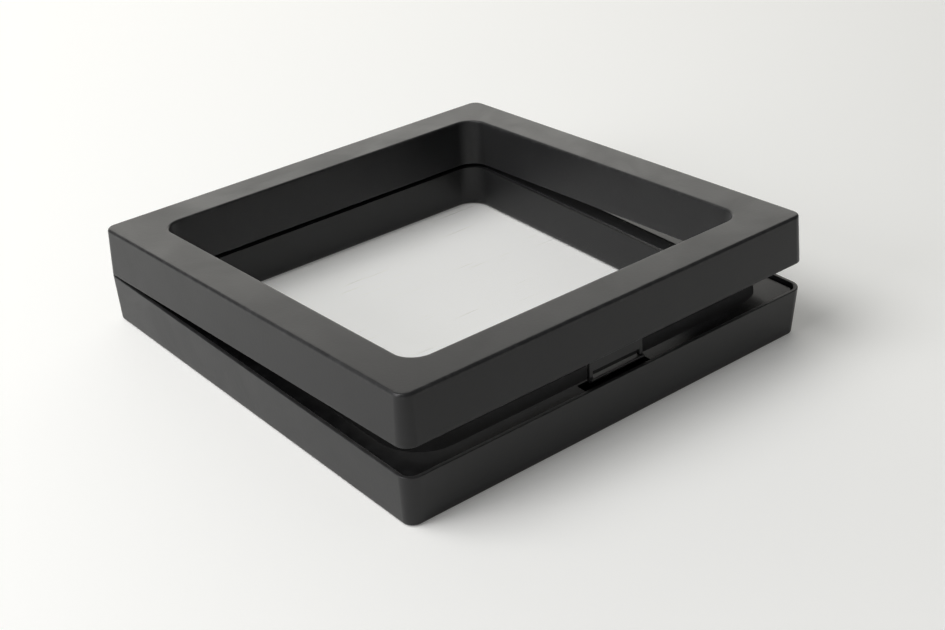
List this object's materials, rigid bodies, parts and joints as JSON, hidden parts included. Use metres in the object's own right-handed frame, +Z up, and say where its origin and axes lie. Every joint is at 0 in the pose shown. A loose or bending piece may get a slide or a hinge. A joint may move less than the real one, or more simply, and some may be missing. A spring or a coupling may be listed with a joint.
{
  "type": "floating frame",
  "caption": "Square clamshell display frame: two hinged black mouldings, each with a stretched clear film, that hold an exhibit between the films.",
  "frame": {"origin": "centre of the whole part's plan outline, on the underside that it lies on", "axes": "+Z up, +Y towards the hinge side, +X along the hinge axis to the right when the opening side faces you"},
  "size_m": [0.23, 0.2332, 0.06],
  "materials": {
    "black_abs_shell": "satin moulded ABS",
    "black_abs_ring": "glossy moulded ABS, matt where the film is welded on",
    "black_abs_latch": "satin moulded ABS",
    "clear_film": "clear stretched polyurethane film",
    "steel_pin": "drawn steel wire"
  },
  "bodies": {
    "base": {"base_shell": "black_abs_shell", "base_film_ring": "black_abs_ring", "base_film": "clear_film", "hinge_pin_left": "steel_pin", "hinge_pin_right": "steel_pin"},
    "lid": {"lid_shell": "black_abs_shell", "lid_film_ring": "black_abs_ring", "lid_film": "clear_film"},
    "latch": {"latch_tongue": "black_abs_latch"}
  },
  "joints": [
    {"name": "lid_hinge", "type": "hinge", "parent": "base", "child": "lid", "pos_m": [0, 0.1138, 0.02395], "axis": [-1, 0, 0], "range_deg": [-3.27, 176.73]},
    {"name": "latch_flex", "type": "hinge", "parent": "lid", "child": "latch", "pos_m": [0, -0.10997, 0.0449], "axis": [1, 0, 0], "range_deg": [0, 6], "stiffness_Nm_per_rad": 0.6}
  ]
}
